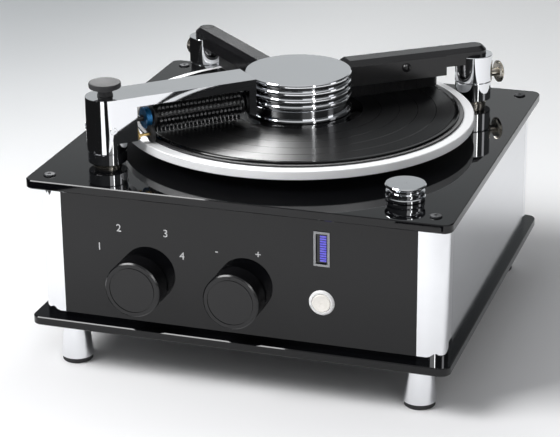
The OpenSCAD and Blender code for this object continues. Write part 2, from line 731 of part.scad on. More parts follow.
// Black arm bar: round tail, bevelled top edges and a bevelled nose
module bar_arm() {
    tail_r = arm_w / 2;
    bevelled_tail = tail_r - arm_bevel;
    intersection() {
        rotate([90, 0, 90]) linear_extrude(arm_len) polygon([
            [-tail_r, 0], [tail_r, 0], [tail_r, arm_h - arm_bevel], [bevelled_tail, arm_h],
            [-bevelled_tail, arm_h], [-tail_r, arm_h - arm_bevel]]);
        translate([0, tail_r + 1, 0]) rotate([90, 0, 0]) linear_extrude(arm_w + 2) polygon([
            [0, 0], [arm_len - 1.5, 0], [arm_len, 1.5], [arm_len, arm_h - arm_bevel],
            [arm_len - arm_bevel, arm_h], [0, arm_h]]);
    }
    rotate_extrude() polygon([[0, 0], [tail_r, 0], [tail_r, arm_h - arm_bevel], [bevelled_tail, arm_h], [0, arm_h]]);
}

// Underside of an arm above the plate
function arm_foot(seam) = seam + rear_hub_h + arm_proud - arm_h;

module vacuum_arm() color("#1b1c1e") at_vacuum() translate([0, 0, arm_foot(vacuum_seam)]) difference() {
    bar_arm();
    translate([0, 0, arm_h - plug_t]) difference() {
        cylinder(r = plug_r, h = 2 * plug_t);
        translate([0, 0, -1]) cylinder(r = plug_r - 0.8, h = 2 * plug_t + 2);
    }
}

// Suction bar under the arm with a long slot in its underside
module vacuum_nozzle() color("#161617") at_vacuum() {
    foot = record_top + brush_gap + felt_h;
    len = arm_len - 3 - pad_start;
    difference() {
        translate([pad_start, -nozzle_w / 2, foot]) cube([len, nozzle_w, arm_foot(vacuum_seam) - foot]);
        translate([pad_start + 4, -nozzle_slot / 2, foot - 1]) cube([len - 8, nozzle_slot, 7]);
    }
}

module vacuum_felt() color("#3a3334") at_vacuum() for (s = [-1, 1])
    translate([pad_start + 2, s * (nozzle_slot / 2 + 1 + felt_w / 2) - felt_w / 2, record_top + brush_gap])
        cube([arm_len - 7 - pad_start, felt_w, felt_h]);

// Thumbscrew behind a hub: shank, neck and a grooved disc
module thumbscrew() {
    translate([0, 0, thumb_h]) rotate([0, -90, 0]) {
        translate([0, 0, post_shaft_r + seat_gap]) cylinder(r = thumb_shank_r, h = thumb_s - post_shaft_r);
        translate([0, 0, hub_r + seat_gap]) cylinder(r = thumb_neck_r, h = thumb_s - hub_r - 1);
        translate([0, 0, thumb_s - thumb_t / 2]) rotate_extrude() polygon([
            [0, 0], [thumb_r - 2, 0], [thumb_r - 0.5, 0.8], [thumb_r, 1.2], [thumb_r, thumb_t / 2 - 0.4],
            [thumb_r - 0.5, thumb_t / 2], [thumb_r, thumb_t / 2 + 0.4], [thumb_r, thumb_t - 1],
            [thumb_r - 1, thumb_t], [0, thumb_t]]);
    }
}

module vacuum_thumbscrew() color("#c9bfa6") at_vacuum() thumbscrew();
module fluid_thumbscrew() color("#c9bfa6") at_fluid() thumbscrew();
module fluid_arm() color("#1b1c1e") at_fluid() translate([0, 0, arm_foot(fluid_seam)]) bar_arm();

plate_screw_s = 77;

// Side plate that holds the bristle strip against the arm
module fluid_plate() color("#202124") at_fluid() {
    top = arm_foot(fluid_seam) + arm_h - arm_bevel;
    translate([pad_start - 5, arm_w / 2 + eps, top - plate_side_h])
        cube([arm_len - pad_start + 5, plate_side_t, plate_side_h]);
    translate([plate_screw_s, arm_w / 2 + plate_side_t, top - 6.5]) rotate([-90, 0, 0]) rotate_extrude()
        polygon([[0, 0], [4.4, 0], [4.3, 1], [3.4, 2.2], [2, 2.6], [2, 1], [0, 1]]);
}

module fluid_bristles() color("#0f0f10") at_fluid() {
    foot = record_top + brush_gap;
    back_z = arm_foot(fluid_seam) - bristle_back;
    len = arm_len - 3 - pad_start;
    translate([pad_start, -bristle_w / 2, back_z]) cube([len, bristle_w, bristle_back]);
    for (r = [0:bristle_rows - 1], i = [0:bristle_count - 1])
        translate([pad_start + (i + 0.35 + 0.3 * r) * len / bristle_count,
            (r - (bristle_rows - 1) / 2) * 5 - strand_w / 2, foot])
            cube([strand_w, strand_w, back_z - foot + 0.5]);
}

// Knob with a bevelled edge, a ring groove on its face and a shaft bore
module big_knob() {
    difference() {
        translate([0, 0, seat_gap]) bevelled_rod(knob_r, knob_depth, knob_edge);
        translate([0, 0, seat_gap + knob_depth - knob_face_groove]) difference() {
            cylinder(r = knob_r * 0.83, h = 2);
            translate([0, 0, -1]) cylinder(r = knob_r * 0.80, h = 4);
        }
        cylinder(r = knob_shaft_r + run_gap, h = knob_depth - 5);
        translate([0, 0, -1]) cylinder(r = knob_bush_r + 1, h = 5);
    }
}

// Pointer dot on the programme knob, at the fourth of four places

module selector_knob() color("#1a1b1d") on_panel(selector_x, knob_drop) difference() {
    big_knob();
    rotate([0, 0, 90 - dial_first]) translate([knob_r * 0.9, 0, seat_gap + knob_depth - 0.5])
        cylinder(r = 0.9, h = 2);
}

module power_knob() color("#1a1b1d") on_panel(power_x, knob_drop) difference() {
    big_knob();
    translate([0, knob_r * 0.9, seat_gap + knob_depth - 0.5]) cylinder(r = 0.9, h = 2);
}

// Bodies of the rotary switch, the regulator and the start switch behind the panel
module panel_switches() color("#2f4a5a") {
    for (x = [selector_x, power_x]) on_panel(x, knob_drop) {
        translate([0, 0, -panel_t - 20]) bevelled_rod(13, 20, 0.8);
        translate([0, 0, -panel_t]) cylinder(r = knob_bush_r - 0.3, h = panel_t + 1.5);
        cylinder(r = knob_shaft_r, h = knob_depth - 5);
    }
    on_panel(display_x, start_drop) translate([0, 0, -panel_t - 14]) cylinder(r = 10, h = 14);
}

module display_bezel() color("#b5b8bb") on_panel(display_x, display_drop) difference() {
    translate([-display_w / 2, -display_h / 2, 0]) cube([display_w, display_h, display_proud]);
    cube([display_w - 2 * display_frame, display_h - 2 * display_frame, 3], center = true);
}

module display_bar() color("#2f55ff") on_panel(display_x, display_drop)
    translate([-display_w / 2 + display_frame + 0.2, -display_h / 2 + display_frame + 0.2, -panel_t - 3])
        cube([display_w - 2 * display_frame - 0.4, display_h - 2 * display_frame - 0.4, panel_t + 2]);

module start_ring() color("#b9bcbf") on_panel(display_x, start_drop) rotate_extrude() polygon([
    [start_cap_r + seat_gap, 0], [start_ring_r, 0], [start_ring_r, 0.5], [start_ring_r - 1, start_proud - 0.6],
    [start_cap_r + 1, start_proud], [start_cap_r + seat_gap, start_proud - 0.5]]);

module start_button() color("#efe9dc") on_panel(display_x, start_drop)
    translate([0, 0, -panel_t + start_travel]) rotate_extrude() polygon([
        [0, 0], [start_cap_r, 0], [start_cap_r, panel_t - start_travel + start_proud - 0.3],
        [start_cap_r - 0.8, panel_t - start_travel + start_proud + 0.2],
        [start_cap_r - 3, panel_t - start_travel + start_proud], [0, panel_t - start_travel + start_proud - 0.3]]);

module at_filler() { translate([filler_x, front_y + filler_back, top_z]) children(); }

module filler_neck() color("#3a3b3d") at_filler() difference() {
    union() {
        translate([0, 0, -plate_t - 22]) cylinder(r = filler_bore_r + 2.4, h = plate_t + 22);
        translate([0, 0, -plate_t - 4]) cylinder(r = filler_bore_r + 6, h = 4);
    }
    translate([0, 0, -plate_t - 23]) cylinder(r = filler_bore_r, h = plate_t + 24);
}

// Cap of three turned rings on a narrower core, with a plug that closes the neck
module filler_cap() color("#d3d6d9") at_filler() translate([0, 0, seat_gap]) {
    h = filler_h - seat_gap;
    r = filler_r;
    rotate_extrude() polygon([[0, 0], [r - 1, 0], [r - 0.5, 0.5], [r - 0.5, h * 0.2], [r - 1.2, h * 0.24],
        [r - 3.5, h * 0.26], [r - 3.5, h * 0.32], [r - 1, h * 0.34], [r - 1, h * 0.52], [r - 3.5, h * 0.55],
        [r - 3.5, h * 0.78], [r - 0.6, h * 0.82], [r, h * 0.86], [r, h * 0.94], [r - 0.7, h],
        [1.2, h], [0, h - 0.7]]);
    translate([0, 0, -9]) cylinder(r = filler_bore_r - seat_gap, h = 9 + eps);
}

// Tank under the filler with rounded upright edges
module fluid_tank() color("#d9dcd2") at_filler()
    translate([-8 - fluid_tank_w / 2, 8 - fluid_tank_d / 2, case_z - top_z])
        linear_extrude(case_h - 22) rounded(fluid_tank_w, fluid_tank_d, 8);

// Rectangle with round corners, drawn from its lower left corner
module rounded(w, d, r) {
    translate([r, 0]) square([w - 2 * r, d]);
    translate([0, r]) square([w, d - 2 * r]);
    for (x = [r, w - r], y = [r, d - r]) translate([x, y]) circle(r = r);
}

module waste_tank() color("#cfd2cc") translate([waste_x - waste_w / 2, waste_y - waste_d / 2, case_z]) {
    linear_extrude(waste_h) rounded(waste_w, waste_d, 10);
    translate([waste_w - 18, waste_d / 2, waste_h - eps]) cylinder(r = hose_r - 2, h = 10);
}

// Bypass turbine: wide fan housing, motor can and an inlet spigot
module vacuum_turbine() color("#6d7074") translate([turbine_x, turbine_y, case_z]) {
    cylinder(r = turbine_r - 12, h = turbine_h);
    translate([0, 0, turbine_h - turbine_fan_h - 16]) bevelled_rod(turbine_r, turbine_fan_h, 2);
    translate([0, 0, turbine_h - eps]) cylinder(r = hose_r - 2, h = 10);
    cylinder(r = turbine_r - 4, h = 5);
}

// Half of a hose bend in the X-Z plane
module hose_elbow() {
    rotate([90, 0, 0]) rotate_extrude(angle = 90) translate([hose_bend, 0]) circle(r = hose_r, $fn = 48);
}

// Suction line from the hollow post to the tank, and from the tank to the turbine
module suction_hose() color("#3c3f43") {
    hose_level = under_z - hose_r - 3;
    tank_x = waste_x + waste_w / 2 - 18;
    tank_top = case_z + waste_h + seat_gap;
    fan_top = case_z + turbine_h + seat_gap;
    difference() {
        union() {
            translate([tank_x, waste_y, tank_top])
                cylinder(r = hose_r, h = hose_level - hose_bend - tank_top, $fn = 48);
            translate([tank_x + hose_bend, waste_y, hose_level - hose_bend]) mirror([1, 0, 0]) hose_elbow();
            translate([tank_x + hose_bend - eps, waste_y, hose_level]) rotate([0, 90, 0])
                cylinder(r = hose_r, h = turbine_x - tank_x - 2 * hose_bend + 2 * eps, $fn = 48);
            translate([turbine_x - hose_bend, waste_y, hose_level - hose_bend]) hose_elbow();
            translate([turbine_x, waste_y, fan_top])
                cylinder(r = hose_r, h = hose_level - hose_bend - fan_top, $fn = 48);
        }
        translate([tank_x, waste_y, tank_top - 1]) cylinder(r = hose_r - 2 + run_gap, h = 12);
        translate([turbine_x, waste_y, fan_top - 1]) cylinder(r = hose_r - 2 + run_gap, h = 12);
    }
    translate([-rear_x, rear_hub_y, case_z + waste_h]) cylinder(r = 9, h = case_h - waste_h - 14, $fn = 48);
}

module fluid_pump() color("#4a4d50") translate([pump_x, pump_y, case_z]) {
    translate([-pump_w / 2, -pump_d / 2, 0]) linear_extrude(pump_h) rounded(pump_w, pump_d, 5);
    translate([0, 0, pump_h - eps]) bevelled_rod(pump_w / 3, pump_h * 0.6, 1);
}

// Ring core transformer on its base disc
module power_supply() color("#7a4b32") translate([winding_x, winding_y, case_z]) {
    cylinder(r = winding_r + winding_tube_r, h = 2);
    translate([0, 0, winding_tube_r + 1]) rotate_extrude() translate([winding_r, 0]) circle(r = winding_tube_r);
    cylinder(r = winding_r - winding_tube_r + 2, h = 2 * winding_tube_r + 10);
}

// Board on two feet with a relay, a regulator and a row of capacitors
module control_board() color("#1f5a38") translate([board_x - board_w / 2, board_y, case_z]) {
    cube([board_w, board_t, board_h]);
    translate([board_w * 0.1, -12, board_h * 0.13]) cube([26, 12 + eps, 18]);
    translate([board_w * 0.5, -8, board_h * 0.52]) cube([18, 8 + eps, 18]);
    for (i = [0:3]) translate([board_w * (0.16 + i * 0.2), -14, board_h * 0.85]) rotate([-90, 0, 0])
        cylinder(r = 5, h = 14 + eps);
    for (x = [0, board_w - 8]) translate([x, board_t - eps, 0]) cube([8, 10, 3]);
}

// Mains socket with three pins in its cavity, and the frame of the switch above it
module mains_inlet() color("#18191b") {
    on_rear(inlet_x, inlet_drop) {
        difference() {
            translate([-inlet_w / 2, -inlet_h / 2, -inlet_depth - 3])
                translate([1.3, 1.3, 0]) cube([inlet_w - 2.6, inlet_h - 2.6, inlet_depth + 3 + eps]);
            translate([-inlet_slot_w / 2, -inlet_slot_h / 2, -inlet_depth])
                cube([inlet_slot_w, inlet_slot_h, inlet_depth + 3]);
        }
        difference() {
            translate([-inlet_w / 2 - 2, -inlet_h / 2 - 2, 0]) cube([inlet_w + 4, inlet_h + 4, 2]);
            translate([-inlet_slot_w / 2, -inlet_slot_h / 2, -1]) cube([inlet_slot_w, inlet_slot_h, 4]);
        }
        for (x = [-7, 0, 7]) translate([x - 1, x == 0 ? 0 : -3, -inlet_depth - eps]) cube([2, 4, 11]);
    }
    on_rear(inlet_x, rocker_drop) difference() {
        translate([-rocker_w / 2 - 2.5, -rocker_h / 2 - 2.5, 0]) cube([rocker_w + 5, rocker_h + 5, 1.8]);
        cube([rocker_w + 0.6, rocker_h + 0.6, 8], center = true);
    }
}

// Rocker with two flat halves on round pivot ends, tipped towards its off side
module mains_rocker() color("#26282a") on_rear(inlet_x, rocker_drop) translate([0, 0, -rocker_sink]) {
    translate([rocker_w / 2, 0, 0]) rotate([90, 0, -90]) linear_extrude(rocker_w)
        polygon([[-rocker_h / 2 + 0.8, 0], [rocker_h / 2 - 0.8, 0], [rocker_h / 2 - 0.2, 7.4], [0, 5.6],
            [-rocker_h / 2 + 0.2, 5.6]]);
    translate([-rocker_w / 2 - 0.2, 0, rocker_axis]) rotate([0, 90, 0]) cylinder(r = 1.5, h = rocker_w + 0.4);
}

module drain_fitting() color("#a8abae") on_rear(drain_x, drain_drop) difference() {
    rotate_extrude() polygon([[0, -panel_t - 12], [drain_r - 1, -panel_t - 12], [drain_r - 1, -panel_t - 5],
        [drain_r + 4, -panel_t - 5], [drain_r + 4, -panel_t], [drain_r, -panel_t], [drain_r, 0],
        [drain_r + 3, 0], [drain_r + 3, 2], [drain_r - 1, 2], [drain_r - 1, 3], [drain_r, 4], [drain_r - 1, 6],
        [drain_r - 1, 6.5], [drain_r, 7.5], [drain_r - 1.2, 9.5], [0, 9.5]]);
    translate([0, 0, -panel_t - 13]) cylinder(r = 2.5, h = panel_t + 24);
}

top_plate();
bottom_plate();
front_panel();
rear_panel();
side_panels();
corner_posts();
plate_screws();
feet();
foot_pads();
bearing_housing();
drive_motor();
drive_belt();
vacuum_turbine();
suction_hose();
waste_tank();
fluid_tank();
fluid_pump();
power_supply();
control_board();
panel_switches();
display_bezel();
display_bar();
start_ring();
filler_neck();
arm_posts();
mains_inlet();
drain_fitting();
platter();
platter_mat();
record();
platter_shaft();
motor_pulley();
clamp_body();
clamp_base();
brush_collar();
brush_arm();
idler_lever();
brush_set_screws();
roller_core();
roller_bristles();
drive_ring();
idler_wheel();
lock_knob();
vacuum_collar();
vacuum_hub();
vacuum_arm();
vacuum_nozzle();
vacuum_felt();
vacuum_thumbscrew();
fluid_collar();
fluid_hub();
fluid_arm();
fluid_plate();
fluid_bristles();
fluid_thumbscrew();
selector_knob();
power_knob();
start_button();
filler_cap();
mains_rocker();
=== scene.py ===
import math
import random

import bmesh
import bpy
from mathutils import Matrix, Vector


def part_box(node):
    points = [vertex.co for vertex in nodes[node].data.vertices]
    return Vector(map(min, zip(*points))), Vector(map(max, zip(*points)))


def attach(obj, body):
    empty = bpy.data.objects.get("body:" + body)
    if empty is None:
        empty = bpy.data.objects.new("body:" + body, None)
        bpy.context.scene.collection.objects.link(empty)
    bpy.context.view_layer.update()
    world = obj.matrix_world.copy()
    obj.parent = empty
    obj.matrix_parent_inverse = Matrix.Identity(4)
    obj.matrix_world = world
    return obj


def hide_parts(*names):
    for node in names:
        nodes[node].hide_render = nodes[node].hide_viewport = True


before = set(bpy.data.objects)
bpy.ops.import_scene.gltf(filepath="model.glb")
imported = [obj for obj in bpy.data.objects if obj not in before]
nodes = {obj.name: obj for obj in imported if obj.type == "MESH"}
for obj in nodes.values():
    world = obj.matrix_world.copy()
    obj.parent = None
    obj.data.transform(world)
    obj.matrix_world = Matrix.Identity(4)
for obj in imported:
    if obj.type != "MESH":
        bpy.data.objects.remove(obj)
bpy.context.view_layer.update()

mm = 0.001
print("stage: frame loaded,", len(nodes), "nodes")


# Places that later pieces and finishes are worked out from

def middle(node):
    low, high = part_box(node)
    return (low + high) / 2


def flatAngle(start, end):
    return math.atan2(end.y - start.y, end.x - start.x)


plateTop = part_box("top_plate")[1].z
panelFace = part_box("front_panel")[0].y
platterCentre = middle("platter")

brushHub = middle("brush_collar")
brushTurn = flatAngle(brushHub, middle("drive_ring"))
fluidHub = middle("fluid_collar")
fluidTurn = flatAngle(middle("fluid_thumbscrew"), fluidHub)


# Shader maths on a wrapped socket, and one method that makes any other node

class Value:
    def __init__(self, tree, socket):
        self.tree, self.socket = tree, socket

    def maths(self, operation, other=None, flip=False):
        made = self.tree.nodes.new("ShaderNodeMath")
        made.operation = operation
        terms = (other, self) if flip else (self, other)
        for slot, term in zip(made.inputs, terms):
            plug(self.tree, slot, term)
        return Value(self.tree, made.outputs[0])

    def __add__(self, other):
        return self.maths("ADD", other)

    def __radd__(self, other):
        return self.maths("ADD", other, True)

    def __sub__(self, other):
        return self.maths("SUBTRACT", other)

    def __rsub__(self, other):
        return self.maths("SUBTRACT", other, True)

    def __mul__(self, other):
        return self.maths("MULTIPLY", other)

    def __rmul__(self, other):
        return self.maths("MULTIPLY", other, True)

    def __truediv__(self, other):
        return self.maths("DIVIDE", other)

    def __gt__(self, other):
        return self.maths("GREATER_THAN", other)

    def __lt__(self, other):
        return self.maths("LESS_THAN", other)


def plug(tree, slot, item):
    if isinstance(item, Value):
        tree.links.new(item.socket, slot)
    elif item is not None:
        if isinstance(item, (tuple, list)) and len(item) == 3 and len(slot.default_value) == 4:
            item = (*item, 1)
        slot.default_value = item


class Shading:
    def __init__(self, owner):
        owner.use_nodes = True
        self.owner, self.tree = owner, owner.node_tree
        self.tree.nodes.clear()

    def node(self, kind, settings=None, sockets=None, out=0):
        made = self.tree.nodes.new("ShaderNode" + kind)
        for key, setting in (settings or {}).items():
            if key == "stops":
                while len(made.color_ramp.elements) < len(setting):
                    made.color_ramp.elements.new(0.5)
                for stop, (place, colour) in zip(made.color_ramp.elements, setting):
                    stop.position = place
                    stop.color = (*colour, 1)
            else:
                setattr(made, key, setting)
        for key, item in (sockets or {}).items():
            plug(self.tree, made.inputs[key], item)
        return Value(self.tree, made.outputs[out]) if made.outputs else None

    def place(self, centre=(0, 0, 0), turn=0, scale=(1, 1, 1)):
        spot = self.node("TexCoord", out="Object")
        return self.node("Mapping", {"vector_type": "TEXTURE"}, {
            "Vector": spot, "Location": tuple(centre), "Rotation": (0, 0, turn), "Scale": tuple(scale)})

    def noise(self, vector, scale, detail=3, roughness=0.5):
        return self.node("TexNoise", None, {
            "Vector": vector, "Scale": scale, "Detail": detail, "Roughness": roughness})

    def mix(self, factor, first, second):
        return self.node("Mix", {"data_type": "RGBA"}, {0: factor, 6: first, 7: second}, 2)

    def between(self, value, low, high):
        return self.node("MapRange", {"interpolation_type": "SMOOTHSTEP"}, {
            "Value": value, "From Min": low, "From Max": high})

    def radius(self, vector):  # distance from the upright axis
        flat = self.node("VectorMath", {"operation": "MULTIPLY"}, {0: vector, 1: (1, 1, 0)})
        return self.node("VectorMath", {"operation": "LENGTH"}, {0: flat}, "Value")

    def bump(self, height, distance, strength):
        return self.node("Bump", None, {"Height": height, "Distance": distance, "Strength": strength})

    def output(self, shader, kind="OutputMaterial"):
        self.node(kind, None, {"Surface": shader})
        return self.owner

    def surface(self, sockets):
        return self.output(self.node("BsdfPrincipled", None, sockets))

    def seenDirectly(self):  # camera, mirror and glass rays
        names = ("Is Camera Ray", "Is Glossy Ray", "Is Transmission Ray")
        camera, mirror, glass = [self.node("LightPath", out=name) for name in names]
        return (camera + mirror + glass).maths("MINIMUM", 1.0)


def newMaterial(name):
    return Shading(bpy.data.materials.new(name))


# Finishes

acrylic = {"colour": (0.0025, 0.0026, 0.0032), "smudge": (0.006, 0.0065, 0.0075), "gloss": 0.015,
           "smearScale": 9, "smearShare": 0.35, "fineScale": 160,
           "dustScale": 190, "dustSize": 0.03, "dustShare": 0.25, "ior": 1.42}


def makeAcrylic():
    look = newMaterial("glossAcrylic")
    spot = look.place()
    smears = look.noise(spot, acrylic["smearScale"], 5, 0.62)
    fine = look.noise(spot, acrylic["fineScale"], 2)
    specks = look.node("TexVoronoi", None, {"Vector": spot, "Scale": acrylic["dustScale"]}, "Distance")
    dust = specks < acrylic["dustSize"]
    worn = look.between(smears, 0.5, 0.8)
    return look.surface({
        "Base Color": look.mix(worn * acrylic["smearShare"] + dust * acrylic["dustShare"],
                               acrylic["colour"], acrylic["smudge"]),
        "Roughness": acrylic["gloss"] + worn * 0.02 + fine * 0.01 + dust * 0.06,
        "IOR": acrylic["ior"],
        "Normal": look.bump(fine, 0.00001, 0.2)})


chrome = {"colour": (0.83, 0.84, 0.86), "dull": (0.79, 0.80, 0.82), "rough": 0.02,
          "lineScale": 900, "lineHeight": 0.0000015, "filmScale": 22}


# The lines and the grain run along the axis whose number in streak is small
def makeChrome(name, streak=(1, 1, 0.08), centre=(0, 0, 0), turn=0):
    look = newMaterial(name)
    spot = look.place(centre, turn)
    stretched = look.node("VectorMath", {"operation": "MULTIPLY"}, {0: spot, 1: streak})
    lines = look.noise(stretched, chrome["lineScale"], 2)
    film = look.noise(spot, chrome["filmScale"], 4, 0.6)
    return look.surface({
        "Base Color": look.mix(look.between(film, 0.35, 0.8), chrome["colour"], chrome["dull"]),
        "Metallic": 1.0,
        "Roughness": chrome["rough"] + film * 0.025 + lines * 0.01,
        "Normal": look.bump(lines, chrome["lineHeight"], 0.4)})


# What a finish takes where it gives no value of its own
brushed = {"grainScale": 700, "grainHeight": 0.00002, "grainRough": 0.12, "depth": 0.5, "filmScale": 14}
turned = {"metallic": 1.0, "ringRough": 0.04, "ringHeight": 0.000004, "filmScale": 18, "flatFrom": 0.9}
moulded = {"metallic": 0.0, "specular": 0.5, "height": 0.00003, "grainScale": 1500, "filmScale": 20}


def makeBrushed(name, finish, streak=(1, 1, 1)):
    values = {**brushed, **finish}
    look = newMaterial(name)
    spot = look.place()
    stretched = look.node("VectorMath", {"operation": "MULTIPLY"}, {0: spot, 1: streak})
    grain = look.noise(stretched, values["grainScale"], 4, 0.65)
    film = look.noise(spot, values["filmScale"], 4, 0.6)
    return look.surface({
        "Base Color": look.mix(look.between(grain, 0.3, 0.75) * 0.6 + film * 0.3,
                               values["colour"], values["dark"]),
        "Metallic": 1.0,
        "Roughness": values["rough"] + grain * values["grainRough"] + film * 0.04,
        "Normal": look.bump(grain, values["grainHeight"], values["depth"])})


# Turned pieces show rings round their own axis, cut only into the faces that lie flat
def makeTurned(name, finish, centre):
    values = {**turned, **finish}
    look = newMaterial(name)
    spot = look.place(centre)
    rings = look.node("TexNoise", {"noise_dimensions": "1D"}, {
        "W": look.radius(spot) * values["rings"], "Scale": 1, "Detail": 2})
    film = look.noise(spot, values["filmScale"], 4, 0.6)
    facing = look.node("NewGeometry", out="Normal")
    upward = look.node("VectorMath", {"operation": "DOT_PRODUCT"}, {0: facing, 1: (0, 0, 1)}, "Value")
    flatFaces = upward.maths("ABSOLUTE") > values["flatFrom"]
    return look.surface({
        "Base Color": look.mix(look.between(rings, 0.3, 0.7) * 0.3 + film * 0.25,
                               values["colour"], values["dark"]),
        "Metallic": values["metallic"],
        "Roughness": values["rough"] + rings * values["ringRough"] + film * 0.03,
        "Normal": look.bump(rings * flatFaces, values["ringHeight"], values["depth"])})


# Moulded, painted or anodised surfaces: a fine grain with a slow change of shade
def makeMoulded(name, finish):
    values = {**moulded, **finish}
    look = newMaterial(name)
    spot = look.place()
    grain = look.noise(spot, values["grainScale"], 3, 0.6)
    film = look.noise(spot, values["filmScale"], 4, 0.6)
    return look.surface({
        "Base Color": look.mix(look.between(film, 0.35, 0.75) * 0.7 + grain * 0.3,
                               values["colour"], values["dark"]),
        "Metallic": values["metallic"],
        "Specular IOR Level": values["specular"],
        "Roughness": values["rough"] + film * 0.08 + grain * 0.06,
        "Normal": look.bump(grain, values["height"], 0.6)})


# Lengths in metres. The spread draws the reflections out across the grooves, into the fan on the record
vinyl = {"colour": (0.001, 0.001, 0.0012), "pale": (0.003, 0.003, 0.0034),
         "grooveStart": 0.0602, "grooveEnd": 0.1462, "grooveEdge": 0.0004, "bands": 5, "gapShare": 0.03,
         "loudScale": 900, "smooth": 0.1, "rough": 0.15, "spread": 0.9, "spreadTurn": 0.25, "specular": 0.34,
         "ior": 1.5}


def makeVinyl():
    look = newMaterial("vinyl")
    reach = look.radius(look.place(platterCentre))
    start, end, edge = vinyl["grooveStart"], vinyl["grooveEnd"], vinyl["grooveEdge"]
    played = look.between(reach, start, start + edge) * (1 - look.between(reach, end - edge, end))
    share = (reach - start) / (end - start) * vinyl["bands"]
    gap = (share.maths("FRACT") - 0.5).maths("ABSOLUTE") > 0.5 - vinyl["gapShare"] / 2
    loudness = look.node("TexNoise", {"noise_dimensions": "1D"}, {
        "W": reach * vinyl["loudScale"], "Scale": 1, "Detail": 3})
    grooves = played * (1 - gap)
    return look.surface({
        "Base Color": look.mix(loudness * grooves, vinyl["colour"], vinyl["pale"]),
        "Roughness": vinyl["smooth"] + grooves * (vinyl["rough"] + loudness * 0.1),
        "Anisotropic": vinyl["spread"],
        "Anisotropic Rotation": vinyl["spreadTurn"],
        "Specular IOR Level": vinyl["specular"],
        "IOR": vinyl["ior"],
        "Normal": look.bump(loudness * grooves, 0.00001, 0.3)})


brushBlack = {"colour": (0.010, 0.010, 0.011), "dark": (0.03, 0.03, 0.032), "rough": 0.34, "scale": 420}


def makeBristle():
    look = newMaterial("nylonBristle")
    shade = look.noise(look.place(), brushBlack["scale"], 2)
    return look.surface({
        "Base Color": look.mix(shade, brushBlack["colour"], brushBlack["dark"]),
        "Roughness": brushBlack["rough"] + shade * 0.25,
        "Coat Weight": 0.1 + shade * 0.2})


# The tips' pale colours are a painted highlight, the light on the tuft ends
tuftTipHighlight = {"colour": (0.34, 0.345, 0.35), "pale": (0.74, 0.75, 0.76), "rough": 0.22, "scale": 700}


def makeTuftTipHighlight():
    look = newMaterial("tuftTipHighlight")
    shade = look.noise(look.place(), tuftTipHighlight["scale"], 2)
    return look.surface({
        "Base Color": look.mix(look.between(shade, 0.3, 0.7), tuftTipHighlight["colour"], tuftTipHighlight["pale"]),
        "Roughness": tuftTipHighlight["rough"] + shade * 0.2})


felt = {"colour": (0.022, 0.019, 0.020), "pale": (0.06, 0.055, 0.056), "rough": 0.8, "sheen": 0.4,
        "pileScale": 2600, "pileHeight": 0.0003}


def makeFelt():
    look = newMaterial("velvetFelt")
    pile = look.noise(look.place(), felt["pileScale"], 4, 0.7)
    return look.surface({
        "Base Color": look.mix(pile, felt["colour"], felt["pale"]),
        "Roughness": felt["rough"] + pile * 0.15,
        "Sheen Weight": felt["sheen"],
        "Normal": look.bump(pile, felt["pileHeight"], 0.8)})


litBlue = {"colour": (0.018, 0.016, 0.12), "glow": (0.16, 0.13, 1.0), "pale": (0.26, 0.24, 1.0),
           "strength": 0.6, "rough": 0.2, "scale": 300, "squash": (1, 1, 0.5)}


def makeLitBlue():
    look = newMaterial("litSegment")
    patches = look.noise(look.place(scale=litBlue["squash"]), litBlue["scale"], 2)
    return look.surface({
        "Base Color": litBlue["colour"],
        "Emission Color": look.mix(look.between(patches, 0.35, 0.7), litBlue["glow"], litBlue["pale"]),
        "Emission Strength": litBlue["strength"],
        "Roughness": litBlue["rough"] + patches * 0.1})


circuit = {"colour": (0.01, 0.09, 0.04), "pale": (0.012, 0.11, 0.05), "track": (0.35, 0.28, 0.12),
           "trackWidth": 0.03, "scale": 60, "rough": 0.3}


def makeCircuit():
    look = newMaterial("boardGreen")
    spot = look.place()
    tracks = look.node("TexBrick", None, {
        "Vector": spot, "Scale": circuit["scale"], "Color1": circuit["colour"], "Color2": circuit["pale"],
        "Mortar": circuit["track"], "Mortar Size": circuit["trackWidth"]})
    shade = look.noise(spot, circuit["scale"])
    return look.surface({"Base Color": tracks, "Roughness": circuit["rough"] + shade * 0.2})


